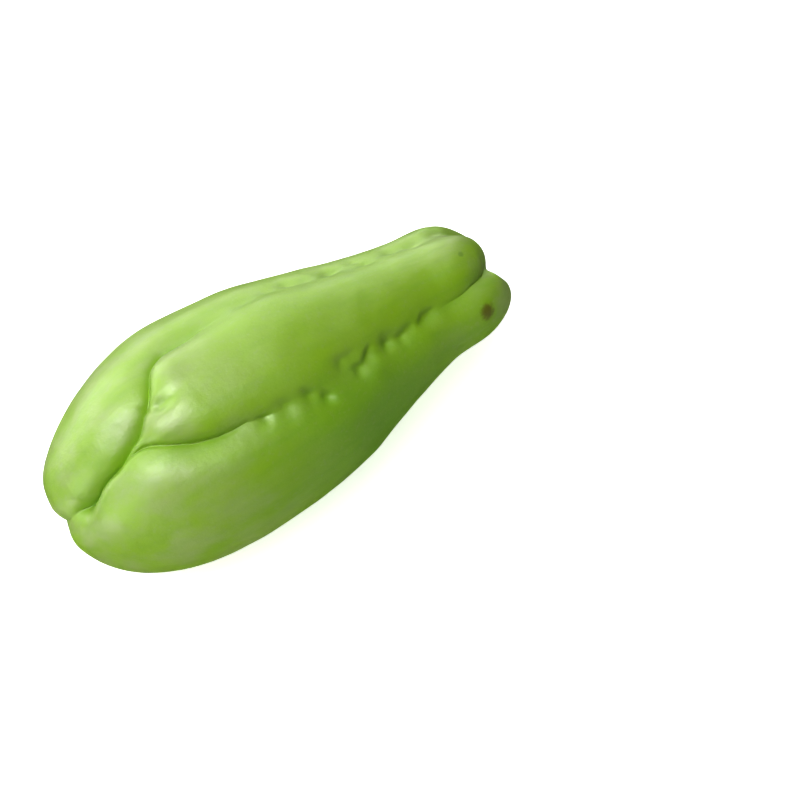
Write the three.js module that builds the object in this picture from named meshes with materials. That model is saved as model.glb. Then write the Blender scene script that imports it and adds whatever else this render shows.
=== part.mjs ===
// A chayote squash lying on its side, as one solid. Millimetres, +Z up.
//
// +X runs from the broad blossom end, where the mouth slit is, to the narrow stem end.
// A place on the skin is given by two numbers: "along", the distance in mm over the skin from
// the blossom end's tip, and "angle", the turn in degrees about the long axis, where 0 faces
// up and 90 faces -Y. Five lobes run the length of the fruit, with a furrow between each two.

import * as THREE from 'three';
import { mergeVertices } from 'three/addons/utils/BufferGeometryUtils.js';

// ---- driving dimensions ----

const LENGTH = 173;               // tip to tip, before the ends' furrows are sunk
const FLATTENING = 0.95;          // height of a cross-section over its width
const BLOSSOM_ROUNDNESS = 0.6;    // 0.5 is an ellipse's end, less is blunter, more is pointier
const STEM_ROUNDNESS = 0.55;
const CENTRE_HEIGHT = 35.3;       // the axis above the surface that the fruit lies on

// Radius before the ends are rounded off: [x from the blossom end's tip, radius]
const GIRTH = [
  [0, 35], [15, 39.6], [30, 42], [47, 41.6], [65, 39.6], [85, 37.2],
  [105, 32.6], [123, 28.5], [140, 26.5], [155, 28.5], [LENGTH, 26.5],
];

// How far the middle of a section strays from the axis: [x, mm toward SWAY_ANGLE]
// and [x, mm toward SAG_ANGLE].
const SWAY_ANGLE = 115;
const SWAY = [
  [0, 2], [25, 2], [50, 0.8], [75, 0.1], [100, 0], [125, -1.1], [150, -1.9], [LENGTH, 1],
];
const SAG_ANGLE = 205;
const SAG = [[0, 0], [45, 0], [75, 0.7], [100, 2.2], [125, 3.2], [LENGTH, 3.5]];

// The rounded furrows between the lobes: [along, angle, depth, half width]
const FURROWS = {
  mouth: [
    [5, 32, 0.3, 8], [15, 23, 1.6, 9], [23, 20, 2.2, 9], [31, 14, 2.4, 9], [40, 10, 2.4, 9],
    [47, 4, 2, 8.5], [53, -3, 1.2, 8],
  ],
  backToFront: [
    [49, 5, 0.2, 6], [55, -2, 0.4, 6], [61, -13, 1, 6], [68, -24, 1.6, 6], [79, -26, 2, 6],
    [92, -26, 1.9, 6], [106, -31, 1.6, 5.5], [127, -30, 1.4, 5.5], [148, -29, 1.4, 5.5],
    [166, -31, 1.8, 5.5], [175, -32, 2.2, 5.5], [183, -38, 2.8, 5], [190, -42, 3.2, 5],
    [198, -35, 3, 5], [209, 0, 1, 5],
  ],
  frontToLower: [
    [50, 19, 1, 6], [62, 29, 1.8, 6], [75, 34, 2.6, 6.5], [90, 37, 2.6, 7],
    [106, 41, 2.2, 7.5], [130, 38, 2.2, 7.5], [160, 39, 2.8, 7.5], [172, 40, 3, 6.5],
    [178, 37, 3.4, 6], [184, 32, 4, 5.5], [190, 20, 3.6, 5], [198, 25, 2.6, 5], [209, 0, 1, 5],
  ],
  lowerToBottom: [
    [14, 150, 1.6, 5], [30, 140, 2, 7], [60, 134, 2, 7], [100, 134, 2, 7], [140, 134, 2, 7],
    [175, 130, 2.2, 6.5], [190, 124, 3, 5.5], [200, 115, 3, 5], [209, 0, 1, 5],
  ],
  bottomToRear: [
    [48, 214, 2.4, 7], [60, 198, 2.6, 6], [80, 184, 2.6, 6], [110, 181, 2.6, 6],
    [140, 182, 2.4, 6], [175, 184, 2.4, 6], [190, 184, 3, 5.5], [200, 186, 3, 5], [209, 0, 1, 5],
  ],
  rearToBack: [
    [48, 228, 2.2, 8], [62, 242, 2.2, 9], [80, 250, 2.2, 9], [110, 255, 2.2, 9],
    [140, 256, 2.2, 8], [175, 258, 2.4, 7], [190, 262, 3, 5.5], [200, 264, 3, 5], [209, 0, 1, 5],
  ],
};

// The tight creases, where two lobes press together: [along, angle, depth, half width]
const CREASES = {
  mouth: [
    [50, 222, 3, 3.8], [36, 222, 4, 4.2], [24, 217, 4.2, 4.4], [10, 210, 3.6, 4.4],
    [0, 0, 1.8, 4.2], [5, 42, 1.8, 4.2], [9, 34, 1.6, 4.2], [13.6, 30, 3.4, 4.2],
    [18, 30, 4.6, 4.4], [23.4, 24.5, 4.8, 4.4], [28, 18.5, 4.6, 4.2], [36, 15, 4.2, 4],
    [43, 10.5, 3.9, 4], [50, 4, 3.6, 3.8], [55.3, -2, 3.2, 3.6],
  ],
  backToFront: [
    [55.3, -2, 2.8, 3.6], [61, -13.5, 3, 3.6], [64, -20.5, 2.9, 3.6], [68.6, -25, 2.8, 3.6],
    [73, -25.5, 2.6, 3.5], [80, -25.5, 1.8, 3.5], [91, -26.5, 0.2, 3.5],
  ],
  frontToLower: [
    [40, 14, 1, 3.5], [48.8, 14.5, 2.4, 3.5], [55, 20.5, 2.7, 3.5], [62, 26.8, 2.9, 3.5],
    [69, 30.8, 2.9, 3.5], [76, 32.3, 2.4, 3.5], [84, 34, 1.2, 3.5], [92, 36, 0.2, 3.5],
  ],
  bottomToRear: [
    [48, 220, 2.8, 3.5], [60, 199, 2.6, 3.5], [72, 189, 2, 3.5], [86, 183, 0.4, 3.5],
  ],
  rearToBack: [
    [48, 220, 2.8, 3.5], [58, 238, 2.8, 3.5], [70, 246, 2.4, 3.5], [90, 252, 0.5, 3.5],
  ],
};

// Round swellings, and hollows where the height is negative: [along, angle, height, radius]
const SWELLINGS = [
  [10, -65, 1.6, 10], [5, -5, 1.6, 7], [3.5, 165, -1.4, 6], [9, 85, 1.6, 7], [19, 122, 1, 12],
  [67, -11, 1, 6], [65, 4, 0.8, 6], [50, -23, 1, 11], [40, -12, 1, 11], [32, 2, 0.8, 10],
  [72, -60, 0.8, 14], [196, 5, -2.6, 8], [197, 48, -2.6, 10], [201, -44, -2.8, 9.5],
];

// The hollow at the stem end, where the stalk was: [depth, radius]
const STEM_HOLLOW = [4, 8];

// How sharply lines that meet keep the deeper one's depth
const CREASE_JOIN = 3;
const FURROW_JOIN = 2;

// ---- the mesh's fineness ----

const CELLS_LONG = 52;
const CELLS_ACROSS = 16;
const END_SHARE = 0.12;           // share of the skin's length that each end cap takes
const OUTLINE_STEPS = 600;
const LINE_STEPS = 4;             // pieces between two given points of a furrow or crease
const PULL_REACH = 9;             // the mesh's points are drawn toward a crease from this far
const PULL_POWER = 1.7;           // 1 leaves them where they are, more gathers them closer

const SKIN = { color: 0x9dc24f, roughness: 0.5, metalness: 0 };

// ---- plain helpers ----

// The value at x of a smooth line through rows of [x, value].
function smoothAt(x, rows) {
  const last = rows.length - 1;
  let i = 0;
  while (i < last - 1 && x > rows[i + 1][0]) i += 1;
  const slope = (k) => {
    const before = rows[Math.max(k - 1, 0)];
    const after = rows[Math.min(k + 1, last)];
    return (after[1] - before[1]) / (after[0] - before[0]);
  };
  const [x0, y0] = rows[i];
  const [x1, y1] = rows[i + 1];
  const span = x1 - x0;
  const t = (x - x0) / span;
  const t2 = t * t;
  const t3 = t2 * t;
  return (2 * t3 - 3 * t2 + 1) * y0 + (t3 - 2 * t2 + t) * span * slope(i)
    + (3 * t2 - 2 * t3) * y1 + (t3 - t2) * span * slope(i + 1);
}

// ---- the plain fruit, before its furrows ----

// The half outline from tip to tip: x, radius and distance along the skin.
function makeOutline() {
  const points = [];
  let along = 0;
  for (let i = 0; i <= OUTLINE_STEPS; i += 1) {
    const turn = (Math.PI * i) / OUTLINE_STEPS;
    const x = (LENGTH / 2) * (1 - Math.cos(turn));
    const share = x / LENGTH;
    const roundness = BLOSSOM_ROUNDNESS + (STEM_ROUNDNESS - BLOSSOM_ROUNDNESS) * share;
    const radius = smoothAt(x, GIRTH) * Math.abs(Math.sin(turn)) ** roundness;
    const previous = points[i - 1];
    if (previous) along += Math.hypot(x - previous.x, radius - previous.radius);
    points.push({ x, radius, along });
  }
  return points;
}

const OUTLINE = makeOutline();
const SKIN_LENGTH = OUTLINE[OUTLINE_STEPS].along;

function outlineAt(along) {
  let low = 0;
  let high = OUTLINE_STEPS;
  while (high - low > 1) {
    const middle = (low + high) >> 1;
    if (OUTLINE[middle].along <= along) low = middle;
    else high = middle;
  }
  const a = OUTLINE[low];
  const b = OUTLINE[high];
  const t = THREE.MathUtils.clamp((along - a.along) / (b.along - a.along), 0, 1);
  return { x: a.x + (b.x - a.x) * t, radius: a.radius + (b.radius - a.radius) * t };
}

// The point at x, and at a distance from the axis in a direction given in degrees.
function acrossAxis(x, distance, angle) {
  const turn = THREE.MathUtils.degToRad(angle);
  return new THREE.Vector3(x, -distance * Math.sin(turn), distance * Math.cos(turn));
}

const SECTION_SCALE = new THREE.Vector3(1, 1, FLATTENING);

// The point of the plain skin at a distance along it and an angle in degrees.
function skinPoint(along, angle) {
  const { x, radius } = outlineAt(along);
  const middle = acrossAxis(x, smoothAt(x, SWAY), SWAY_ANGLE)
    .add(acrossAxis(0, smoothAt(x, SAG), SAG_ANGLE));
  return acrossAxis(0, radius, angle).multiply(SECTION_SCALE).add(middle);
}

// A box of small cells, wrapped round the fruit: its four sides are the length of the skin, and
// its two ends are rounded from squares to discs and close the tips.
function makePlainFruit() {
  const box = new THREE.BoxGeometry(2, 2, 2, CELLS_LONG, CELLS_ACROSS, CELLS_ACROSS);
  box.deleteAttribute('normal');
  box.deleteAttribute('uv');
  const geometry = mergeVertices(box, 1e-4);
  const position = geometry.getAttribute('position');
  const cell = new THREE.Vector3();
  for (let i = 0; i < position.count; i += 1) {
    cell.fromBufferAttribute(position, i);
    const y = cell.y * Math.sqrt(1 - cell.z ** 2 / 2);
    const z = cell.z * Math.sqrt(1 - cell.y ** 2 / 2);
    const endShare = END_SHARE * Math.hypot(y, z);
    const sideShare = END_SHARE + ((cell.x + 1) / 2) * (1 - 2 * END_SHARE);
    let share = sideShare;
    if (cell.x < -1 + 1e-6) share = endShare;
    if (cell.x > 1 - 1e-6) share = 1 - endShare;
    const angle = THREE.MathUtils.radToDeg(Math.atan2(-y, z));
    const point = skinPoint(share * SKIN_LENGTH, angle);
    position.setXYZ(i, point.x, point.y, point.z);
  }
  geometry.computeVertexNormals();
  return geometry;
}

// Splits each four-sided cell into two triangles along its shorter diagonal.
function splitCellsShortWay(geometry) {
  const index = geometry.getIndex();
  const position = geometry.getAttribute('position');
  const corner = (k) => new THREE.Vector3().fromBufferAttribute(position, k);
  for (let i = 0; i < index.count; i += 6) {
    const [a, b, d, , c] = index.array.slice(i, i + 6);
    const acLength = corner(a).distanceTo(corner(c));
    const bdLength = corner(b).distanceTo(corner(d));
    if (acLength < bdLength) index.array.set([a, b, c, a, c, d], i);
  }
}

// ---- furrows and creases ----

// A furrow or crease as a line of points on the plain skin, each with its depth and width.
function makeLine(rows) {
  const curve = new THREE.CatmullRomCurve3(
    rows.map(([along, angle]) => skinPoint(along, angle)), false, 'catmullrom', 0.5);
  const points = curve.getPoints((rows.length - 1) * LINE_STEPS);
  return points.map((point, i) => {
    const k = Math.min(Math.floor(i / LINE_STEPS), rows.length - 2);
    const t = i / LINE_STEPS - k;
    const depth = THREE.MathUtils.lerp(rows[k][2], rows[k + 1][2], t);
    const width = THREE.MathUtils.lerp(rows[k][3], rows[k + 1][3], t);
    return { point, depth, width };
  });
}

// The place on a line that is nearest to a point, with the line's depth and width there.
function nearestOn(line, point) {
  const nearest = { distance: Infinity };
  for (let i = 1; i < line.length; i += 1) {
    const a = line[i - 1];
    const b = line[i];
    const segment = new THREE.Line3(a.point, b.point);
    const t = segment.closestPointToPointParameter(point, true);
    const place = segment.at(t, new THREE.Vector3());
    const distance = place.distanceTo(point);
    if (distance < nearest.distance) {
      nearest.distance = distance;
      nearest.place = place;
      nearest.depth = THREE.MathUtils.lerp(a.depth, b.depth, t);
      nearest.width = THREE.MathUtils.lerp(a.width, b.width, t);
    }
  }
  return nearest;
}

const roundedBell = (widths) => Math.exp(-widths * widths);
const tightCrease = (widths) => Math.exp(-widths);

// The depth at a point of some lines that meet without an edge between them.
function depthAt(point, lines, profile, join) {
  const depths = lines.map((line) => {
    const { distance, depth, width } = nearestOn(line, point);
    return depth * profile(distance / width);
  });
  return depths.reduce((sum, depth) => sum + depth ** join, 0) ** (1 / join);
}

// Draws a point toward the nearest crease, so that the mesh follows the crease's bottom.
function pullToCrease(point, creases) {
  const [crease] = creases.map((line) => nearestOn(line, point))
    .sort((a, b) => a.distance - b.distance);
  if (crease.distance >= PULL_REACH) return;
  const kept = (crease.distance / PULL_REACH) ** (PULL_POWER - 1);
  point.lerpVectors(crease.place, point, kept);
}

// ---- the fruit ----

function makeFruit() {
  const geometry = makePlainFruit();
  const furrows = Object.values(FURROWS).map(makeLine);
  const creases = Object.values(CREASES).map(makeLine);
  const swellings = SWELLINGS.map(([along, angle, swelling, radius]) => (
    { centre: skinPoint(along, angle), swelling, radius }));
  const stemTip = skinPoint(SKIN_LENGTH, 0);
  const [hollowDepth, hollowRadius] = STEM_HOLLOW;
  const position = geometry.getAttribute('position');
  const normal = geometry.getAttribute('normal');
  const point = new THREE.Vector3();
  const outward = new THREE.Vector3();
  for (let i = 0; i < position.count; i += 1) {
    point.fromBufferAttribute(position, i);
    outward.fromBufferAttribute(normal, i);
    pullToCrease(point, creases);
    let height = -depthAt(point, furrows, roundedBell, FURROW_JOIN);
    height -= depthAt(point, creases, tightCrease, CREASE_JOIN);
    height -= hollowDepth * roundedBell(point.distanceTo(stemTip) / hollowRadius);
    for (const { centre, swelling, radius } of swellings) {
      height += swelling * roundedBell(point.distanceTo(centre) / radius);
    }
    point.addScaledVector(outward, height);
    position.setXYZ(i, point.x, point.y, Math.max(point.z + CENTRE_HEIGHT, 0));
  }
  geometry.computeBoundingBox();
  const middle = geometry.boundingBox.getCenter(new THREE.Vector3());
  geometry.translate(-middle.x, -middle.y, 0);
  splitCellsShortWay(geometry);
  geometry.computeVertexNormals();
  return geometry;
}

const fruit = new THREE.Mesh(makeFruit(), new THREE.MeshStandardMaterial(SKIN));
fruit.name = 'chayote';

const model = new THREE.Group();
model.add(fruit);

export default model;
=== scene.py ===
"""The looks of a chayote squash: its fine skin surface, its material, and a plain studio.

A place on the skin is given by "along", the distance in mm over the skin from the blossom end's
tip, and "angle", the turn in degrees about the long axis, where 0 faces up and 90 faces -Y.
Lengths are in millimetres until a mesh is made, and Blender gets metres.
"""

import math

import bpy
import numpy as np
from mathutils import Matrix, Vector, noise


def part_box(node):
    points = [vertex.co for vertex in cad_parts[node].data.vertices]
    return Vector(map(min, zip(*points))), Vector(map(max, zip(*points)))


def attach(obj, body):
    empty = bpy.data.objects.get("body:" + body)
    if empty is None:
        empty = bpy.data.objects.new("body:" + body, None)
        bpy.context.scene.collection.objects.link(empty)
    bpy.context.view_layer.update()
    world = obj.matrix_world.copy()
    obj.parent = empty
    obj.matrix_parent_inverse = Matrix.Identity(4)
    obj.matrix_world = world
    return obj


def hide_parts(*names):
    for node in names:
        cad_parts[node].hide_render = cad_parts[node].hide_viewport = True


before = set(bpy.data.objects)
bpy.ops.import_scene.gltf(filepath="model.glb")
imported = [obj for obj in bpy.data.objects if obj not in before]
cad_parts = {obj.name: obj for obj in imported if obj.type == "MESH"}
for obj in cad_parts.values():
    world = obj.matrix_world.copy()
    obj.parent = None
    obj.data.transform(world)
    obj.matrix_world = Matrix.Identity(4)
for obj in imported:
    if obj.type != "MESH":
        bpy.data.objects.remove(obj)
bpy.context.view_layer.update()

MM = 0.001
NODE = "chayote"

# ---- the plain fruit ----

LENGTH = 173.0
FLATTENING = 0.95           # height of a cross-section over its width
BLOSSOM_ROUNDNESS = 0.6     # 0.5 is an ellipse's end, less is blunter, more is pointier
STEM_ROUNDNESS = 0.55
CENTRE_HEIGHT = 35.3        # the axis above the surface that the fruit lies on

# Radius before the ends are rounded off: (x from the blossom end's tip, radius). It and the sway
# below started from a fit to the photograph's outline, and were then changed.
GIRTH = [
    (0, 35), (15, 39.6), (30, 42), (47, 41.6), (65, 39.6), (85, 37.2),
    (105, 32.6), (123, 28.5), (140, 26.5), (155, 28.5), (LENGTH, 26.5),
]

# How far the middle of a section strays from the axis: (x, mm toward the angle given)
SWAY_ANGLE = 115
SWAY = [
    (0, 2), (25, 2), (50, 0.8), (75, 0.1), (100, 0), (125, -1.1), (150, -1.9), (LENGTH, 1),
]
SAG_ANGLE = 205
SAG = [(0, 0), (45, 0), (75, 0.7), (100, 2.2), (125, 3.2), (LENGTH, 3.5)]

# ---- the lobes and what is between them ----

# Not a model to follow: on the side that the photograph shows, most places in the creases below
# were printed by separate programs, and have at most been rounded. The programs worked them out
# from points picked by eye on the photograph, which is also why these creases have more points
# than they need. Places of furrows, dimples, swellings and spots came from such programs too,
# and some of those were then moved. Depths and widths were chosen, but the lengths and turns of
# some dimples were worked out.

# Rounded furrows between the lobes: (along, angle, depth, half width)
FURROWS = {
    "mouth": [
        (5, 32, 0.3, 8), (15, 23, 1.6, 9), (23, 20, 2.2, 9), (31, 14, 2.5, 10), (40, 10, 2.6, 10),
        (47, 4, 2.2, 9.5), (53, -3, 1.1, 9),
    ],
    "back_to_front": [
        (49, 5, 0.2, 6), (55, -2, 0.4, 6), (61, -13, 1, 6), (68, -24, 1.6, 6), (79, -26, 2, 6),
        (92, -26, 1.6, 6), (106, -31, 1.2, 5.5), (118, -31, 1.1, 5.5), (127, -29, 1, 5),
        (136, -32, 1.1, 5.5), (148, -29, 1.1, 5), (159, -34, 1.3, 5.5), (166, -30, 1.6, 5.5),
        (175, -32, 2.2, 5.5), (183, -38, 2.8, 4.5), (190, -42, 3.2, 4.5), (198, -35, 3, 4.5),
        (209, 0, 1, 4.5),
    ],
    "front_to_lower": [
        (50, 19, 2, 6.5), (62, 29, 2.2, 6.5), (75, 34, 2.6, 6.5), (90, 37, 2.6, 7), (106, 41, 2.2, 7.5),
        (118, 40, 2, 8), (130, 38, 2.2, 7.5), (145, 38.5, 2.4, 7.5), (160, 39, 2.8, 7.5),
        (172, 40, 3, 6.5), (178, 37, 3.2, 6), (183, 33, 3.4, 5.5), (187, 28, 3.6, 5),
        (190, 20.5, 3.2, 4.5), (198, 25, 2.6, 5), (209, 0, 1, 4.5),
    ],
    "front_fold": [
        (56.5, 0, 1.6, 2.4), (59, 1.5, 2.5, 2.6), (61.5, 2, 2, 2.8), (65, 2, 0.9, 3),
        (70, 2, 0.2, 3),
    ],
    "lower_to_bottom": [
        (14, 150, 1.6, 5), (30, 140, 2, 7), (60, 134, 2, 7), (100, 134, 2, 7), (140, 134, 2, 7),
        (175, 130, 2.2, 6.5), (190, 124, 3, 5.5), (200, 115, 3, 5), (209, 0, 1, 4.5),
    ],
    "bottom_to_rear": [
        (48, 214, 2.4, 7), (60, 198, 2.6, 6), (80, 184, 2.6, 6), (110, 181, 2.6, 6),
        (140, 182, 2.4, 6), (175, 184, 2.4, 6), (190, 184, 3, 5.5), (200, 186, 3, 5),
        (209, 0, 1, 4.5),
    ],
    "rear_to_back": [
        (48, 228, 2.2, 8), (62, 242, 2.2, 9), (80, 250, 2.2, 9), (110, 255, 2.2, 9),
        (140, 256, 2.2, 8), (175, 258, 2.4, 7), (190, 262, 3, 5.5), (200, 264, 3, 5),
        (209, 0, 1, 4.5),
    ],
}

# Tight creases where lobes press together: (along, angle, depth, half width on the side of
# smaller angles, half width on the other side). The two widths change places where a line runs
# back toward the blossom end.
CREASES = {
    "mouth": [
        (50, 222, 3, 7, 6), (36, 222, 4, 7, 6.5), (24, 217, 4.4, 7.5, 7), (10, 210, 3.6, 8, 7),
        (0, 0, 1.6, 6, 5), (5, 42, 1.6, 5, 5), (9, 34, 1.1, 4, 5), (11.5, 30, 1.6, 4.5, 5),
        (13.6, 30, 3.4, 6, 4.5), (16.3, 31.5, 4.9, 8, 4), (20, 28.5, 5.5, 8, 3.6),
        (23.4, 24.5, 5.5, 8, 3.4), (26.5, 20, 5.2, 8, 3.4), (31.4, 16.5, 4.9, 8, 3.4),
        (36, 15, 4.6, 8, 3.4), (40, 12.5, 4.3, 7.5, 3.2), (47.3, 7, 3.8, 7.5, 3),
        (51, 3, 3.6, 6.5, 3), (55.3, -2, 3.2, 6, 3.2),
    ],
    "back_to_front": [
        (55.3, -2, 2.8, 5, 3.2), (58, -6, 3, 6, 3.4), (61, -13.5, 3.2, 6, 3.6),
        (64, -20.5, 3, 6, 3.8), (68.6, -25, 2.9, 6, 4), (73, -25.5, 2.6, 6, 4), (79, -25.5, 2.1, 6, 4),
        (84, -26, 1.4, 6, 4), (88, -25.5, 0.6, 5, 4), (91, -26.5, 0.1, 4, 4),
    ],
    "front_to_lower": [
        (36, 15.5, 0.6, 3, 4), (40.8, 14, 1.8, 3, 5), (45.6, 13.5, 2.4, 3.5, 5),
        (48.8, 14.5, 2.5, 3, 5.5), (51.6, 17, 2.6, 3, 6), (55, 20.5, 2.7, 3.2, 6.5),
        (58.5, 23.7, 2.8, 3.4, 7), (62, 26.8, 2.9, 3.6, 7), (65.7, 29, 2.9, 4, 7),
        (69.3, 30.8, 2.9, 4.5, 7), (72.8, 31.8, 2.8, 5, 6.5), (76.5, 32.3, 2.4, 5, 6),
        (80.3, 32.5, 1.8, 5, 6), (84, 34, 1.2, 5, 5), (92, 36, 0.2, 4, 4),
    ],
    "nose_fold": [
        (8, -10, 0.05, 4, 4), (10.5, 0, 0.3, 4, 4), (14.5, 10, 0.5, 4, 4), (17, 20, 0.6, 3.5, 3.5),
        (17.5, 26, 0.4, 3, 3),
    ],
    "stem_fold": [
        (193, 14, 0.2, 3, 3), (190, 20.5, 1, 3.5, 3.5), (186.7, 29, 1.6, 4.5, 4),
        (182.8, 33.5, 1.8, 5, 4), (177.7, 37, 1.6, 5, 4), (172, 41, 1.2, 5, 4),
        (167.5, 41.5, 0.7, 5, 4), (162, 41, 0.1, 5, 4),
    ],
    "bottom_to_rear": [
        (48, 220, 2.8, 6, 6), (60, 199, 2.6, 6, 6), (72, 189, 2, 5.5, 5.5), (86, 183, 0.4, 5, 5),
    ],
    "rear_to_back": [
        (48, 220, 2.8, 6, 6), (58, 238, 2.8, 6, 6), (70, 246, 2.4, 5.5, 5.5), (90, 252, 0.5, 5, 5),
    ],
}

# Round swellings, and hollows where the height is negative: (along, angle, height, radius)
SWELLINGS = [
    (67, -12, 1.1, 6), (67, 7, 0.6, 6), (56, 11, 0.2, 4.5), (49.5, 8.5, -0.6, 3.5),
    (52, -28, 0.7, 11), (41, -16, 0.6, 11), (32, 2, 0.6, 10), (17, 31, -1, 4),
    (24, 45, 0.3, 6), (10, -65, 1.6, 10), (5, -5, 1.6, 5.5), (3.5, 165, -1.4, 4.5),
    (19, 122, 1, 12), (33, 114, 0.9, 11), (9, 85, 1.6, 6), (72, -60, 0.8, 14),
    (120, 108, 0.5, 7), (88, 41, 0.3, 3.5), (98, 43, 0.4, 3.5), (112, 47, 0.3, 3.5),
    (129, 46, 0.8, 4.5), (131.5, 36, 0.4, 2), (151.5, 53, 0.5, 5), (196, 5, -2.6, 8),
    (197, 48, -2.6, 10), (201, -44, -2.8, 9.5), (182, -62, 0.6, 8),
]

# Dimples, all but the last in the two furrows on the upper side: (along, angle, depth, half
# length, half width toward smaller angles, half width the other way, turn of the length away
# from the long axis)
DIMPLES = [
    (103, -28, 0.5, 5, 3.5, 2.5, 0), (112, -30, 0.5, 4, 3, 2, 10), (119.3, -32, 0.9, 3.2, 3.4, 1.3, 20),
    (126.2, -30, 0.5, 2.6, 2.8, 1.2, -12), (135.7, -32, 1, 3.6, 3.4, 1.3, -17),
    (146, -38, 0.6, 2.6, 2.8, 1.5, -20), (148.5, -29.5, 0.6, 2.8, 2.8, 1.2, 0),
    (159.4, -34.5, 0.9, 3, 3.4, 1.3, 10), (166.6, -32, 1.3, 3.6, 3.8, 1.5, 25),
    (177, -39, 0.6, 4, 3, 2, -30), (86.6, 35, 1.1, 2.2, 1.2, 2.6, 17), (94, 35, 0.9, 3.4, 2, 3.6, 10),
    (103.5, 36, 1.3, 3, 1.3, 3, 37), (108.6, 42.5, 1.4, 2.6, 1.3, 2.6, 42),
    (118.3, 29.5, 1.1, 2.6, 1.4, 3.4, 4), (122.7, 29, 0.7, 2.4, 1.5, 3, 0),
    (123.7, 39, 1.2, 2.4, 1.3, 3.2, 13), (128.8, 36, 1.7, 3.6, 1.4, 3.6, -35),
    (138, 37, 1.5, 2.6, 1.3, 3.2, 42), (140, 34, 0.9, 3.2, 1.5, 3.2, 31),
    (144.1, 39.5, 1.2, 2.4, 1.3, 3.2, 2), (148, 37.5, 0.8, 2.8, 1.5, 3.2, 4),
    (154, 39, 1.3, 2.6, 1.3, 3.4, -40), (157.8, 37.5, 0.9, 2.6, 1.3, 3.2, -3),
    (163.5, 85.5, 0.6, 1.7, 1.4, 1.4, 22),
]

# The furrows that face away and down have dimples at about this spacing. "Wander" goes unevenly
# from -1 to 1 along a furrow, and changes each dimple by up to the amounts given.
HIDDEN_FURROWS = ["lower_to_bottom", "bottom_to_rear", "rear_to_back"]
HIDDEN_DIMPLES_FROM = 96
HIDDEN_DIMPLES_TO = 176
HIDDEN_DIMPLE_SPACING = 9
HIDDEN_WANDER = (2.7, 1.9)          # radians from dimple to dimple, and from furrow to furrow
HIDDEN_SHIFT = (2, 1.7)             # mm along the furrow, and radians from dimple to dimple
HIDDEN_ASIDE = 4                    # degrees away from the furrow's middle
HIDDEN_DEPTH = (1, 0.3)             # depth, and its change
HIDDEN_HALF_LENGTH = (3.2, 0.6)     # half length, and its change
HIDDEN_HALF_WIDTHS = (1.6, 3.2)
HIDDEN_TURN = 30                    # degrees away from the long axis

STEM_HOLLOW = (4, 7)        # depth and radius of the hollow where the stalk was
STEM_SCAR = (1.2, 3.4)      # height and radius of the corky scar in the hollow
SCAR_STEEPNESS = 8          # how steep the scar's side is

CREASE_FALL = 2.0           # how fast a lobe's side rounds off into a crease
CREASE_ROUNDNESS = 0.6      # 1 is a plain valley, less is a fuller roll into a narrow slot
CREASE_FULL_DEPTH = 3.5     # shallower creases are plainer valleys
CREASE_JOIN = 3             # how sharply creases that meet keep the deeper one's depth
FURROW_JOIN = 2
DIMPLE_REACH = 4            # a dimple ends at this many times its largest half size
UNEVENNESS = [(0.30, 22.0), (0.16, 9.0), (0.03, 3.5)]   # height and size of the skin's unevenness

# The depths at which the values that the material reads are 1
CREASE_VALUE_DEPTH = 5
FURROW_VALUE_DEPTH = 4

# ---- the mesh's fineness ----

CELLS_LONG = 250
CELLS_ACROSS = 84
END_SHARE = 0.12            # share of the skin's length that each end cap takes
OUTLINE_STEPS = 2000
LINE_STEPS = 4              # pieces between two given points of a furrow or crease
PULL_REACH = 2.5            # the mesh's points are drawn toward a crease from this far
PULL_POWER = 1.6            # 1 leaves them where they are, more gathers them closer
NEARER_CREASE_POWER = 4     # how much a point between two creases keeps to the nearer one
LEAST_DISTANCE = 0.01       # keeps a weight finite for a point that lies on a crease
ALMOST_ZERO = 1e-6
POINTS_AT_ONCE = 4000       # how many points are looked up on the skin together
NORMAL_STEP = 0.5           # mm and degrees either way over which the skin's slope is taken
TIP_MARGIN = 1              # mm from a tip in which the slope is not taken


def smooth_at(x, rows):
    """The value at x of a smooth line through rows of (x, value)."""
    xs, ys = np.array(rows, float).T
    before = np.maximum(np.arange(len(xs)) - 1, 0)
    after = np.minimum(np.arange(len(xs)) + 1, len(xs) - 1)
    slopes = (ys[after] - ys[before]) / (xs[after] - xs[before])
    i = np.clip(np.searchsorted(xs, x, side="left") - 1, 0, len(xs) - 2)
    span = xs[i + 1] - xs[i]
    t = (x - xs[i]) / span
    return (
        (2 * t**3 - 3 * t**2 + 1) * ys[i]
        + (t**3 - 2 * t**2 + t) * span * slopes[i]
        + (3 * t**2 - 2 * t**3) * ys[i + 1]
        + (t**3 - t**2) * span * slopes[i + 1]
    )


def make_outline():
    """The half outline from tip to tip: x, radius and distance along the skin."""
    turn = np.linspace(0, math.pi, OUTLINE_STEPS + 1)
    x = LENGTH / 2 * (1 - np.cos(turn))
    share = x / LENGTH
    roundness = BLOSSOM_ROUNDNESS + (STEM_ROUNDNESS - BLOSSOM_ROUNDNESS) * share
    radius = smooth_at(x, GIRTH) * np.abs(np.sin(turn)) ** roundness
    along = np.concatenate([[0], np.cumsum(np.hypot(np.diff(x), np.diff(radius)))])
    return x, radius, along


OUTLINE_X, OUTLINE_RADIUS, OUTLINE_ALONG = make_outline()
SKIN_LENGTH = OUTLINE_ALONG[-1]


def across_axis(distance, angle):
    """The y and z at a distance from the axis in a direction given in degrees."""
    turn = np.radians(angle)
    return np.stack([-distance * np.sin(turn), distance * np.cos(turn)], -1)


def middle_at(x):
    """The y and z of the middle of the cross-section at x."""
    sway = across_axis(smooth_at(x, SWAY), SWAY_ANGLE)
    return sway + across_axis(smooth_at(x, SAG), SAG_ANGLE)


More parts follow.
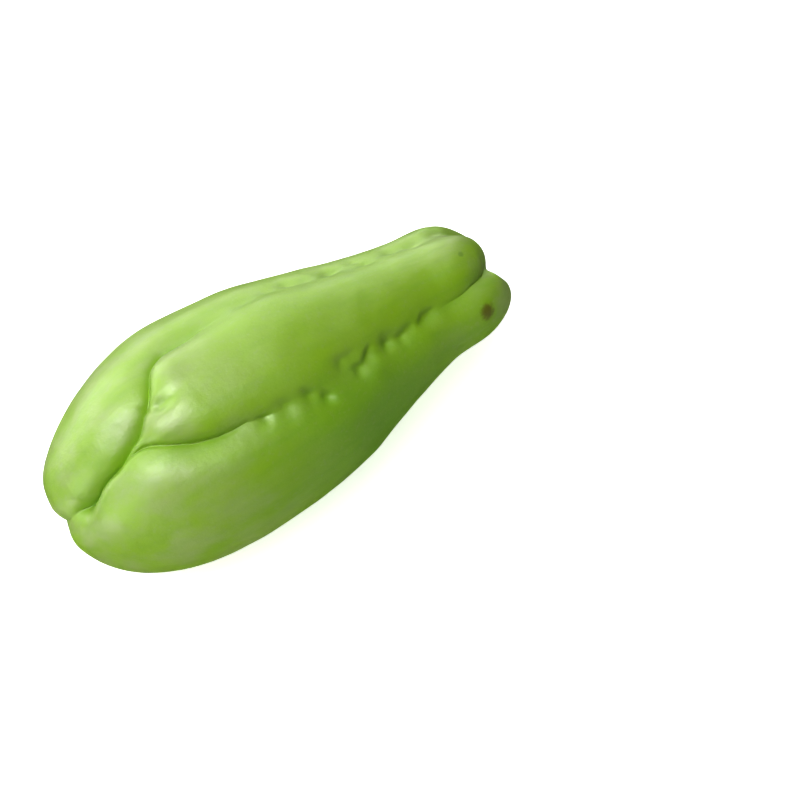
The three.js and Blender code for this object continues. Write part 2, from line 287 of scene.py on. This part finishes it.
def skin_point(along, angle):
    """Points of the plain skin."""
    x = np.interp(along, OUTLINE_ALONG, OUTLINE_X)
    radius = np.interp(along, OUTLINE_ALONG, OUTLINE_RADIUS)
    yz = across_axis(radius, angle) * (1, FLATTENING) + middle_at(x)
    return np.column_stack([x, yz])


def on_skin(points):
    """Along and angle of the plain skin's places nearest to points that lie close to it."""
    x = points[:, 0]
    y, z = (points[:, 1:] - middle_at(x)).T
    z = z / FLATTENING
    radius = np.hypot(y, z)
    nearest = np.empty(len(points), int)
    for start in range(0, len(points), POINTS_AT_ONCE):
        part = slice(start, start + POINTS_AT_ONCE)
        away = (x[part, None] - OUTLINE_X) ** 2 + (radius[part, None] - OUTLINE_RADIUS) ** 2
        nearest[part] = away.argmin(1)
    slope_x = np.gradient(OUTLINE_X, OUTLINE_ALONG)[nearest]
    slope_radius = np.gradient(OUTLINE_RADIUS, OUTLINE_ALONG)[nearest]
    beyond = (x - OUTLINE_X[nearest]) * slope_x + (radius - OUTLINE_RADIUS[nearest]) * slope_radius
    along = np.clip(OUTLINE_ALONG[nearest] + beyond, 0, SKIN_LENGTH)
    return along, np.degrees(np.arctan2(-y, z))


def skin_normal(along, angle, at_tips):
    """Outward unit normals of the plain skin, where at_tips stands in for them at the tips."""
    first, last, step = TIP_MARGIN, SKIN_LENGTH - TIP_MARGIN, NORMAL_STEP
    along = np.clip(along, first, last)
    lengthwise = skin_point(along + step, angle) - skin_point(along - step, angle)
    crosswise = skin_point(along, angle + step) - skin_point(along, angle - step)
    normals = np.cross(lengthwise, crosswise)
    normals /= np.linalg.norm(normals, axis=1)[:, None]
    normals *= np.sign(np.einsum("ij,ij->i", normals, at_tips))[:, None]
    near_tip = (along <= first) | (along >= last)
    return np.where(near_tip[:, None], at_tips, normals)


def one_skin_point(along, angle):
    return skin_point(np.array([float(along)]), np.array([float(angle)]))[0]


def box_of_cells():
    """The corners of a box's surface cells, from -1 to 1 each way, and its quads."""
    counts = (CELLS_LONG, CELLS_ACROSS, CELLS_ACROSS)
    sheets = []
    for axis in range(3):
        first, second = (axis + 1) % 3, (axis + 2) % 3
        a, b = np.meshgrid(np.arange(counts[first]), np.arange(counts[second]), indexing="ij")
        for side in (0, counts[axis]):
            corners = [(0, 0), (1, 0), (1, 1), (0, 1)] if side else [(0, 0), (0, 1), (1, 1), (1, 0)]
            quad = np.empty((a.size, 4, 3), int)
            quad[:, :, axis] = side
            for k, (da, db) in enumerate(corners):
                quad[:, k, first] = (a + da).ravel()
                quad[:, k, second] = (b + db).ravel()
            sheets.append(quad)
    quads = np.concatenate(sheets)
    cells, index = np.unique(quads.reshape(-1, 3), axis=0, return_inverse=True)
    return 2 * cells / np.array(counts) - 1, index.reshape(-1, 4)


def plain_fruit():
    """The plain skin's points, outward normals and quads."""
    cells, quads = box_of_cells()
    x, y, z = cells.T
    y_round = y * np.sqrt(1 - z**2 / 2)
    z_round = z * np.sqrt(1 - y**2 / 2)
    end_share = END_SHARE * np.hypot(y_round, z_round)
    share = END_SHARE + (x + 1) / 2 * (1 - 2 * END_SHARE)
    share = np.where(x == -1, end_share, share)
    share = np.where(x == 1, 1 - end_share, share)
    points = skin_point(share * SKIN_LENGTH, np.degrees(np.arctan2(-y_round, z_round)))
    return points, normals_of(points, quads), quads


def normals_of(points, quads):
    """Outward unit normals at the points of a mesh of quads."""
    a, b, c, d = (points[quads[:, k]] for k in range(4))
    face_normals = np.cross(c - a, d - b)
    normals = np.zeros_like(points)
    for k in range(4):
        np.add.at(normals, quads[:, k], face_normals)
    return normals / np.linalg.norm(normals, axis=1)[:, None]


def make_line(rows):
    """A furrow or crease as a smooth curve of points, each with the row's other values."""
    rows = np.array(rows, float)
    values = np.hstack([skin_point(rows[:, 0], rows[:, 1]), rows[:, 2:]])
    ends = np.vstack([2 * values[0] - values[1], values, 2 * values[-1] - values[-2]])
    t = np.linspace(0, 1, LINE_STEPS, endpoint=False)[:, None]
    pieces = []
    for k in range(len(values) - 1):
        p0, p1, p2, p3 = ends[k:k + 4]
        piece = p1 + (p2 - p0) * t / 2 + (2 * p0 - 5 * p1 + 4 * p2 - p3) * t**2 / 2
        piece = piece + (3 * p1 - p0 - 3 * p2 + p3) * t**3 / 2
        piece[:, 3:] = p1[3:] + (p2[3:] - p1[3:]) * t
        pieces.append(piece)
    pieces.append(values[-1:])
    line = np.vstack(pieces)
    return line[:, :3], line[:, 3:]


def nearest_on(line, points, normals):
    """For each point: distance to the line, the nearest place, values there, and the side."""
    places, values = line
    best = np.full(len(points), np.inf)
    place = np.zeros_like(points)
    value = np.zeros((len(points), values.shape[1]))
    along = np.zeros_like(points)
    for k in range(len(places) - 1):
        start = places[k]
        step = places[k + 1] - start
        t = np.clip((points - start) @ step / (step @ step), 0, 1)[:, None]
        candidate = start + t * step
        distance = np.linalg.norm(points - candidate, axis=1)
        closer = distance < best
        best[closer] = distance[closer]
        place[closer] = candidate[closer]
        value[closer] = (values[k] + (values[k + 1] - values[k]) * t)[closer]
        along[closer] = step / np.linalg.norm(step)
    side = np.einsum("ij,ij->i", np.cross(normals, along), points - place)
    return best, place, value, side


def crease_depth(distance, value, side):
    """Depth of a tight crease, into which a lobe rounds off on each side."""
    depth, low_width, high_width = value.T
    share = np.clip(0.5 + side / np.maximum(distance, ALMOST_ZERO) / 2, 0, 1)
    width = high_width + (low_width - high_width) * share
    roundness = 1 - (1 - CREASE_ROUNDNESS) * np.clip(depth / CREASE_FULL_DEPTH, 0, 1)
    return depth * (1 - (1 - np.exp(-CREASE_FALL * distance / width)) ** roundness)


def joined(depths, power):
    """Some depths as one: a high power keeps the deepest, a low one melts them together."""
    return (np.stack(depths) ** power).sum(0) ** (1 / power)


def hidden_dimples():
    """Dimples in the furrows that face away and down, unevenly spaced."""
    rows = []
    per_dimple, per_furrow = HIDDEN_WANDER
    shift, shift_per_dimple = HIDDEN_SHIFT
    for k, name in enumerate(HIDDEN_FURROWS):
        angles = [row[:2] for row in FURROWS[name]]
        places = np.arange(HIDDEN_DIMPLES_FROM, HIDDEN_DIMPLES_TO, HIDDEN_DIMPLE_SPACING)
        for i, place in enumerate(places):
            wander = math.sin(per_dimple * i + per_furrow * k)
            along = place + shift * math.cos(shift_per_dimple * i + k)
            angle = float(smooth_at(along, angles)) + HIDDEN_ASIDE * wander
            depth = HIDDEN_DEPTH[0] + HIDDEN_DEPTH[1] * wander
            half_length = HIDDEN_HALF_LENGTH[0] - HIDDEN_HALF_LENGTH[1] * wander
            turn = HIDDEN_TURN * wander
            rows.append((along, angle, depth, half_length, *HIDDEN_HALF_WIDTHS, turn))
    return rows


def dimple_depth(points, row):
    """Depth at the points of one long dimple."""
    along, angle, depth, half_length, low_width, high_width, turn = row
    centre = one_skin_point(along, angle)
    lengthwise = one_skin_point(along + 1, angle) - one_skin_point(along - 1, angle)
    crosswise = one_skin_point(along, angle + 1) - one_skin_point(along, angle - 1)
    lengthwise /= np.linalg.norm(lengthwise)
    crosswise /= np.linalg.norm(crosswise)
    u, v = (points - centre) @ lengthwise, (points - centre) @ crosswise
    turn = math.radians(turn)
    p, q = u * math.cos(turn) + v * math.sin(turn), v * math.cos(turn) - u * math.sin(turn)
    reach = DIMPLE_REACH * max(half_length, low_width, high_width)
    near = np.linalg.norm(points - centre, axis=1) < reach
    half_width = np.where(q < 0, low_width, high_width)
    return np.where(near, depth * np.exp(-((p / half_length) ** 2) - (q / half_width) ** 2), 0)


def undulation(points):
    """The skin's slight unevenness."""
    height = np.zeros(len(points))
    for amount, size in UNEVENNESS:
        height += amount * np.array([noise.noise(Vector(p) / size) for p in points])
    return height


def drawn_to_creases(points, nearest):
    """The points, gathered closer to the creases and smoothly so between two of them."""
    distances = np.stack([distance for distance, _, _, _ in nearest])
    places = np.stack([place for _, place, _, _ in nearest])
    weights = (1 / np.maximum(distances, LEAST_DISTANCE)) ** NEARER_CREASE_POWER
    place = (places * weights[:, :, None]).sum(0) / weights.sum(0)[:, None]
    kept = np.minimum(distances.min(0) / PULL_REACH, 1) ** (PULL_POWER - 1)
    return place + (points - place) * kept[:, None]


def sculpt(points, normals):
    """The fine surface, and each point's crease and furrow values for the material, 0 to 1."""
    creases = [make_line(rows) for rows in CREASES.values()]
    points = drawn_to_creases(points, [nearest_on(line, points, normals) for line in creases])
    places = on_skin(points)
    points, normals = skin_point(*places), skin_normal(*places, normals)

    crease_depths = []
    for line in creases:
        near, _, value, side = nearest_on(line, points, normals)
        crease_depths.append(crease_depth(near, value, side))
    furrow_depths = []
    for rows in FURROWS.values():
        near, _, value, _ = nearest_on(make_line(rows), points, normals)
        furrow_depths.append(value[:, 0] * np.exp(-((near / value[:, 1]) ** 2)))
    crease = joined(crease_depths, CREASE_JOIN)
    furrow = joined(furrow_depths, FURROW_JOIN)
    dimple = sum(dimple_depth(points, row) for row in DIMPLES + hidden_dimples())
    height = -(crease + furrow + dimple)
    for along, angle, swelling, radius in SWELLINGS:
        away = np.linalg.norm(points - one_skin_point(along, angle), axis=1)
        height += swelling * np.exp(-((away / radius) ** 2))
    from_tip = np.linalg.norm(points - one_skin_point(SKIN_LENGTH, 0), axis=1)
    hollow_depth, hollow_radius = STEM_HOLLOW
    scar_height, scar_radius = STEM_SCAR
    height -= hollow_depth * np.exp(-((from_tip / hollow_radius) ** 2))
    height += scar_height / (1 + (from_tip / scar_radius) ** SCAR_STEEPNESS)
    height += undulation(points)
    points = points + normals * height[:, None]
    crease_value = np.clip(crease / CREASE_VALUE_DEPTH, 0, 1)
    furrow_value = np.clip((furrow + dimple) / FURROW_VALUE_DEPTH, 0, 1)
    return points, crease_value, furrow_value


def fruit_shift(points):
    """The shift from the skin's own x and y to the frame's, which centres the fruit's box."""
    low, high = (np.array(corner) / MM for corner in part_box(NODE))
    shift = (low + high) / 2 - (points.min(0) + points.max(0)) / 2
    return np.array([shift[0], shift[1], CENTRE_HEIGHT])


def make_fruit():
    points, normals, quads = plain_fruit()
    points, crease, furrow = sculpt(points, normals)
    shift = fruit_shift(points)
    points = points + shift
    points[:, 2] = np.maximum(points[:, 2], 0)
    mesh = bpy.data.meshes.new("chayote_skin")
    mesh.from_pydata((points * MM).tolist(), [], quads.tolist())
    mesh.shade_smooth()
    add_values(mesh, "crease", crease)
    add_values(mesh, "furrow", furrow)
    fruit = bpy.data.objects.new("chayote_fruit", mesh)
    bpy.context.scene.collection.objects.link(fruit)
    return fruit, shift


def add_values(mesh, name, values):
    """A named value for each of the mesh's points, which the material reads."""
    attribute = mesh.attributes.new(name, "FLOAT", "POINT")
    attribute.data.foreach_set("value", np.asarray(values, np.float32))


# ---- the material ----

# Linear colours. The balance of the greens started from a fit to the photograph's colours.
WHITE = (1, 1, 1, 1)
GREEN = (0.255, 0.44, 0.011)
PALE_GREEN = (0.34, 0.415, 0.17)
DEEP_GREEN = (0.12, 0.31, 0.008)
# The green of the painted shade in the creases
CREASE_SHADE_GREEN = (0.22, 0.41, 0.008)
BROWN = (0.13, 0.12, 0.006)
YELLOW = (0.33, 0.36, 0.02)
CORK = (0.36, 0.25, 0.12)
DARK_SPOT = (0.13, 0.24, 0.02)

# Where the colour changes along x or y: (from, to, share at the first, share at the second),
# with the places in metres in the frame, and shares of 0 and 1 where none are given. The pale
# mottles grow toward both ends: partly the skin's own, partly painted sheen toward the blossom
# end and painted light toward the stem end. The deeper green grows toward the neck and down the
# -Y side, but less at the stem end: partly the skin's own, partly painted shade.
PALE_AND_SHEEN_TO_BLOSSOM = (0.01, -0.06, 0.12, 0.55)
PALE_AND_LIGHT_TO_STEM = (0.045, 0.08, 0.0, 0.4)
DEEP_AND_SHADE_TO_NECK = (-0.05, 0.04)
DEEP_AND_SHADE_DOWN_SIDE = (-0.008, -0.034)
DEEP_AND_SHADE_BEFORE_STEM = (0.055, 0.085, 0.75, 0.35)

# Patterns: (size of the lumps in mm along x, y and z, detail), and the noise that starts and
# ends a pattern's rise from none to full
MOTTLES = ((16, 11, 11), 4.0)
MOTTLE_RISE = (0.35, 0.7)
STREAKS = ((45, 3, 3), 3.0)
STREAK_RISE = (0.4, 0.72)
SPECKS = ((1.6, 1.3, 1.3), 2.0)
SPECK_RISE = (0.55, 0.72)
SHINE = ((6, 6, 6), 3.0)
SHINE_RISE = (0.3, 0.7)
PORES = ((1.3, 1.1, 1.1), 3.0, 0.6)     # with the noise's roughness
DENTS = ((4, 3, 3), 1.0)

# How much of its colour each of these lays over the skin. The furrow and crease ones are painted shade.
STREAK_STRENGTH = 0.16
SPECK_STRENGTH = 0.14
FURROW_SHADE_STRENGTH = 0.18
CREASE_SHADE_STRENGTH = 0.65
CREASE_BOTTOM_SHADE_STRENGTH = 0.6

# The crease values between which its painted shade, a green and the deep green of its bottom, sets in
CREASE_RISE = (0.08, 0.45)
CREASE_BOTTOM_RISE = (0.6, 1.0)

SKIN_ROUGHNESS = (0.42, 0.53)
SCAR_ROUGHNESS = 0.85
SCAR_BELOW_TIP = 2.5        # mm along the skin from the plain tip to the scar's middle
SCAR_SOFTNESS = 0.5
BUMP_STRENGTH = 0.45
BUMP_HEIGHT = 0.0002        # metres
SUBSURFACE = 0.08
SUBSURFACE_RADIUS = (0.5, 1.0, 0.2)
SUBSURFACE_SCALE = 0.003    # metres

SPOT_UNEVENNESS = (1.5, 1.5, 1.5)   # size in mm of the lumps in a spot's edge
SPOT_REACH = 1.5            # in radii, and the edge is nearer by the noise, which is about 0.5

# Spots: (along, angle, radius, edge softness, colour, strength)
SPOTS = [
    (176.6, 66.4, 2.6, 0.7, BROWN, 0.9),
    (177.4, 6.5, 0.9, 0.6, DARK_SPOT, 0.6),
    (87.5, -22.9, 0.7, 0.6, DARK_SPOT, 0.6),
    (7, 118, 2.6, 1.4, YELLOW, 0.6),
]


class Nodes:
    """Adds nodes to a material and joins them."""

    def __init__(self, material):
        self.tree = material.node_tree
        self.shader = self.tree.nodes["Principled BSDF"]

    def add(self, kind, settings=(), **inputs):
        """A new node with these settings. Its inputs go by number, and _0 is the first."""
        node = self.tree.nodes.new(kind)
        for name, value in dict(settings).items():
            setattr(node, name, value)
        for name, value in inputs.items():
            self.feed(node.inputs[int(name[1:])], value)
        return node

    def feed(self, socket, value):
        if isinstance(value, bpy.types.NodeSocket):
            self.tree.links.new(value, socket)
        else:
            socket.default_value = value

    def math(self, operation, a, b=0.0):
        return self.add("ShaderNodeMath", {"operation": operation}, _0=a, _1=b).outputs[0]

    def remap(self, value, low, high, to_low=0.0, to_high=1.0):
        node = self.add(
            "ShaderNodeMapRange", {"interpolation_type": "SMOOTHSTEP"},
            _0=value, _1=low, _2=high, _3=to_low, _4=to_high,
        )
        return node.outputs[0]

    def mix(self, share, a, b):
        node = self.add("ShaderNodeMix", {"data_type": "RGBA"})
        self.feed(node.inputs["Factor"], share)
        self.feed(node.inputs["A"], a if isinstance(a, bpy.types.NodeSocket) else (*a, 1))
        self.feed(node.inputs["B"], b if isinstance(b, bpy.types.NodeSocket) else (*b, 1))
        return node.outputs["Result"]

    def attribute(self, name):
        return self.add("ShaderNodeAttribute", {"attribute_name": name}).outputs["Fac"]

    def noise(self, place, sizes, detail=2.0, roughness=0.5):
        """Noise from 0 to 1 whose lumps have these sizes in mm along x, y and z."""
        scale = tuple(1 / (size * MM) for size in sizes)
        scaled = self.add("ShaderNodeVectorMath", {"operation": "MULTIPLY"}, _0=place, _1=scale)
        node = self.add("ShaderNodeTexNoise", _2=1.0, _3=detail, _4=roughness)
        self.feed(node.inputs["Vector"], scaled.outputs[0])
        return node.outputs["Fac"]


def spot_share(nodes, place, centre, radius, softness):
    """1 inside a round spot of the skin and 0 outside, with an uneven, soft edge."""
    away = nodes.add("ShaderNodeVectorMath", {"operation": "DISTANCE"}, _0=place, _1=centre * MM)
    wobble = nodes.math("MULTIPLY", nodes.noise(place, SPOT_UNEVENNESS), radius * MM)
    distance = nodes.math("ADD", away.outputs["Value"], wobble)
    outer = radius * SPOT_REACH * MM
    return nodes.remap(distance, outer * (1 - softness / 2), outer * (1 + softness / 2), 1.0, 0.0)


def skin_colour(nodes, place, crease, furrow, shift):
    """The skin's greens, mottled and faintly streaked, with its spots; painted shade in the furrows and
    creases, and partly painted light and shade toward the ends and the neck.
    """
    x, y, _ = nodes.add("ShaderNodeSeparateXYZ", _0=place).outputs
    mottle = nodes.remap(nodes.noise(place, *MOTTLES), *MOTTLE_RISE)
    # Pale mottles toward both ends: partly the skin's own mottling, partly painted sheen at the blossom
    # end and painted light at the stem end.
    sheen_to_blossom = nodes.remap(x, *PALE_AND_SHEEN_TO_BLOSSOM)
    pale_and_lit_ends = nodes.math("ADD", sheen_to_blossom, nodes.remap(x, *PALE_AND_LIGHT_TO_STEM))
    colour = nodes.mix(nodes.math("MULTIPLY", mottle, pale_and_lit_ends), GREEN, PALE_GREEN)
    # Deeper green toward the neck and down the -Y side, less at the stem end: partly the skin's own,
    # partly painted shade.
    to_neck, down_side = nodes.remap(x, *DEEP_AND_SHADE_TO_NECK), nodes.remap(y, *DEEP_AND_SHADE_DOWN_SIDE)
    deeper = nodes.math("MULTIPLY", to_neck, down_side)
    before_stem_end = nodes.remap(x, *DEEP_AND_SHADE_BEFORE_STEM)
    colour = nodes.mix(nodes.math("MULTIPLY", deeper, before_stem_end), colour, DEEP_GREEN)
    streaks = nodes.remap(nodes.noise(place, *STREAKS), *STREAK_RISE)
    colour = nodes.mix(nodes.math("MULTIPLY", streaks, STREAK_STRENGTH), colour, DEEP_GREEN)
    specks = nodes.remap(nodes.noise(place, *SPECKS), *SPECK_RISE)
    colour = nodes.mix(nodes.math("MULTIPLY", specks, SPECK_STRENGTH), colour, PALE_GREEN)
    # Painted shade: deeper green in the furrows and dimples.
    colour = nodes.mix(nodes.math("MULTIPLY", furrow, FURROW_SHADE_STRENGTH), colour, DEEP_GREEN)
    # Painted shade: a green band along the creases, and deeper green at their bottoms.
    crease_shade_band = nodes.remap(crease, *CREASE_RISE)
    colour = nodes.mix(nodes.math("MULTIPLY", crease_shade_band, CREASE_SHADE_STRENGTH), colour, CREASE_SHADE_GREEN)
    bottom = nodes.remap(crease, *CREASE_BOTTOM_RISE)
    colour = nodes.mix(nodes.math("MULTIPLY", bottom, CREASE_BOTTOM_SHADE_STRENGTH), colour, DEEP_GREEN)
    for along, angle, radius, softness, spot, strength in SPOTS:
        share = spot_share(nodes, place, one_skin_point(along, angle) + shift, radius, softness)
        colour = nodes.mix(nodes.math("MULTIPLY", share, strength), colour, spot)
    return colour


def make_skin_material(shift):
    material = bpy.data.materials.new("chayote_skin")
    material.use_nodes = True
    nodes = Nodes(material)
    place = nodes.add("ShaderNodeTexCoord").outputs["Object"]
    crease, furrow = nodes.attribute("crease"), nodes.attribute("furrow")
    colour = skin_colour(nodes, place, crease, furrow, shift)

    scar_place = one_skin_point(SKIN_LENGTH - SCAR_BELOW_TIP, 0) + shift
    scar = spot_share(nodes, place, scar_place, STEM_SCAR[1], SCAR_SOFTNESS)
    colour = nodes.mix(scar, colour, CORK)
    shine = nodes.remap(nodes.noise(place, *SHINE), *SHINE_RISE, *SKIN_ROUGHNESS)
    roughness = nodes.add("ShaderNodeMix", _0=scar, _2=shine, _3=SCAR_ROUGHNESS).outputs[0]

    relief = nodes.math("ADD", nodes.noise(place, *PORES), nodes.noise(place, *DENTS))
    bump = nodes.add("ShaderNodeBump", _0=BUMP_STRENGTH, _1=BUMP_HEIGHT, _3=relief)

    shader = nodes.shader
    nodes.feed(shader.inputs["Base Color"], colour)
    nodes.feed(shader.inputs["Roughness"], roughness)
    nodes.feed(shader.inputs["Normal"], bump.outputs[0])
    shader.inputs["Subsurface Weight"].default_value = SUBSURFACE
    shader.inputs["Subsurface Radius"].default_value = SUBSURFACE_RADIUS
    shader.inputs["Subsurface Scale"].default_value = SUBSURFACE_SCALE
    return material


# ---- the studio ----

CAMERA_AZIMUTH = -34
CAMERA_ELEVATION = 60
LENS = 85.0                        # on a sensor 36 mm wide
SENSOR = 36.0
FRAME_PIXELS = 800
MM_PER_PIXEL = 0.328               # at the fruit
FRUIT_PIXEL = (260, 401)           # where the point below shows in the picture
FRUIT_MIDDLE = (-10.1, 0, CENTRE_HEIGHT)    # mm in the frame

FLOOR_HALF_SIDE = 2.0              # metres
FLOOR_COLOUR = (0.84, 0.84, 0.84, 1)
FLOOR_ROUGHNESS = 0.9
FLOOR_GLOW = 0.72
WORLD_STRENGTH = 1.0               # seen past the floor's edge only, and lights nothing

VIEW_GAMMA = 0.85                  # under 1 deepens the shades

# Area lights: (name, place right, up and toward the camera from the frame's origin in m, size
# in m, watts, whether it lights the skin evenly or shows in its gloss). The strengths started
# from a fit to the photograph's colours, and were then changed.
LIGHTS = [
    ("key", (-0.26, 0.22, 0.95), 0.9, 11.6, "even"),
    ("top", (0, 1, 0.4), 1.0, 3.4, "even"),
    ("left", (-1.05, -0.1, 0.4), 1.0, 1, "even"),
    ("sheen", (-0.35, 0.35, 0.95), 0.7, 25, "gloss"),
    ("low_sheen", (-0.7, -0.6, 0.5), 0.7, 10.5, "gloss"),
    ("left_sheen", (-1, 0.5, 0), 1.0, 20, "gloss"),
    ("far_sheen", (-0.35, 1.15, -0.15), 1.4, 28, "gloss"),
]


def add_camera():
    """The camera, and the directions right, up and toward the viewer in its picture."""
    azimuth, elevation = math.radians(CAMERA_AZIMUTH), math.radians(CAMERA_ELEVATION)
    toward = Vector((
        math.sin(azimuth) * math.cos(elevation),
        -math.cos(azimuth) * math.cos(elevation),
        math.sin(elevation),
    ))
    right = Vector((math.cos(azimuth), math.sin(azimuth), 0))
    up = toward.cross(right)
    distance = FRAME_PIXELS * LENS / SENSOR * MM_PER_PIXEL
    aside = (FRAME_PIXELS / 2 - FRUIT_PIXEL[0]) * MM_PER_PIXEL
    above = (FRUIT_PIXEL[1] - FRAME_PIXELS / 2) * MM_PER_PIXEL
    place = Vector(FRUIT_MIDDLE) + toward * distance + right * aside + up * above
    turned = Matrix((right, up, toward)).transposed().to_4x4()
    data = bpy.data.cameras.new("camera")
    data.lens = LENS
    data.sensor_width = SENSOR
    camera = bpy.data.objects.new("camera", data)
    camera.matrix_world = Matrix.Translation(place * MM) @ turned
    bpy.context.scene.collection.objects.link(camera)
    bpy.context.scene.camera = camera
    return right, up, toward


def add_light(name, place, size, watts, part):
    """A square area light that faces the fruit."""
    data = bpy.data.lights.new(name, "AREA")
    data.shape = "SQUARE"
    data.size = size
    data.energy = watts
    light = bpy.data.objects.new(name, data)
    light.location = place
    toward_fruit = Vector(FRUIT_MIDDLE) * MM - place
    light.rotation_euler = toward_fruit.to_track_quat("-Z", "Y").to_euler()
    light.visible_camera = False
    light.visible_diffuse = part == "even"
    light.visible_glossy = part == "gloss"
    bpy.context.scene.collection.objects.link(light)


def add_floor():
    side = FLOOR_HALF_SIDE
    mesh = bpy.data.meshes.new("floor")
    corners = [(-side, -side, 0), (side, -side, 0), (side, side, 0), (-side, side, 0)]
    mesh.from_pydata(corners, [], [(0, 1, 2, 3)])
    material = bpy.data.materials.new("floor")
    material.use_nodes = True
    shader = material.node_tree.nodes["Principled BSDF"]
    shader.inputs["Base Color"].default_value = FLOOR_COLOUR
    shader.inputs["Roughness"].default_value = FLOOR_ROUGHNESS
    shader.inputs["Emission Color"].default_value = WHITE
    shader.inputs["Emission Strength"].default_value = FLOOR_GLOW
    mesh.materials.append(material)
    floor = bpy.data.objects.new("floor", mesh)
    bpy.context.scene.collection.objects.link(floor)
    floor.visible_glossy = False


def add_studio():
    """The camera, the lights, the pale background and the floor."""
    axes = add_camera()
    for name, offsets, size, watts, part in LIGHTS:
        place = sum((axis * offset for axis, offset in zip(axes, offsets)), Vector())
        add_light(name, place, size, watts, part)
    world = bpy.data.worlds.new("studio")
    bpy.context.scene.world = world
    world.use_nodes = True
    background = world.node_tree.nodes["Background"]
    background.inputs["Color"].default_value = WHITE
    background.inputs["Strength"].default_value = WORLD_STRENGTH
    world.cycles_visibility.diffuse = False
    world.cycles_visibility.glossy = False
    add_floor()
    view = bpy.context.scene.view_settings
    view.view_transform = "Standard"
    view.gamma = VIEW_GAMMA


fruit, shift = make_fruit()
fruit.data.materials.append(make_skin_material(shift))
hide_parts(NODE)
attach(fruit, "root")
add_studio()
